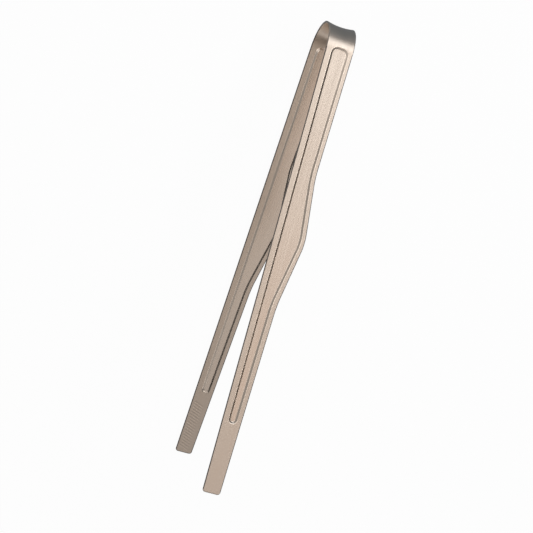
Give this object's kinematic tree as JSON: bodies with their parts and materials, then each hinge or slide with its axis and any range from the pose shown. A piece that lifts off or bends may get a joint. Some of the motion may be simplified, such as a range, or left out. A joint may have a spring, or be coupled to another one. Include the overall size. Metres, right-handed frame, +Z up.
{
  "type": "folded strip tongs",
  "caption": "Spring tongs folded from a satin stainless strip: round bow, panelled arms with a bulge on an edge, and flat toothed jaws that grip food or small items.",
  "frame": {"origin": "middle of the bounding box's bottom face; the tongs lie on the outer face of the rear arm", "axes": "+X along the rear arm towards its jaw, +Y across the strip towards the bulged edge, +Z up"},
  "size_m": [0.2428, 0.018, 0.077],
  "materials": {
    "satin_stainless": "satin"
  },
  "bodies": {
    "rear_arm": {"rear_arm": "satin_stainless"},
    "spring_bow": {"spring_bow": "satin_stainless"},
    "front_arm": {"front_arm": "satin_stainless"},
    "rear_jaw": {"rear_jaw": "satin_stainless"},
    "front_jaw": {"front_jaw": "satin_stainless"}
  },
  "joints": [
    {"name": "squeeze_rear", "type": "hinge", "parent": "rear_arm", "child": "spring_bow", "pos_m": [-0.10834, -0.00151, 0.00063], "axis": [0, 1, 0], "range_deg": [0, 9.35], "stiffness_Nm_per_rad": 12},
    {"name": "squeeze_front", "type": "hinge", "parent": "spring_bow", "child": "front_arm", "pos_m": [-0.11128, -0.00151, 0.02866], "axis": [0, 1, 0], "range_deg": [0, 9.35], "stiffness_Nm_per_rad": 12},
    {"name": "rear_jaw_flex", "type": "hinge", "parent": "rear_arm", "child": "rear_jaw", "pos_m": [0.08841, -0.00151, 0.0005], "axis": [0, 1, 0], "range_deg": [0, 3], "stiffness_Nm_per_rad": 14},
    {"name": "front_jaw_flex", "type": "hinge", "parent": "front_arm", "child": "front_jaw", "pos_m": [0.08114, -0.00151, 0.06969], "axis": [0, -1, 0], "range_deg": [0, 3], "stiffness_Nm_per_rad": 14}
  ],
  "couplings": [
    {"joint": "squeeze_front", "follows": "squeeze_rear", "ratio": 1},
    {"joint": "front_jaw_flex", "follows": "rear_jaw_flex", "ratio": 1}
  ]
}
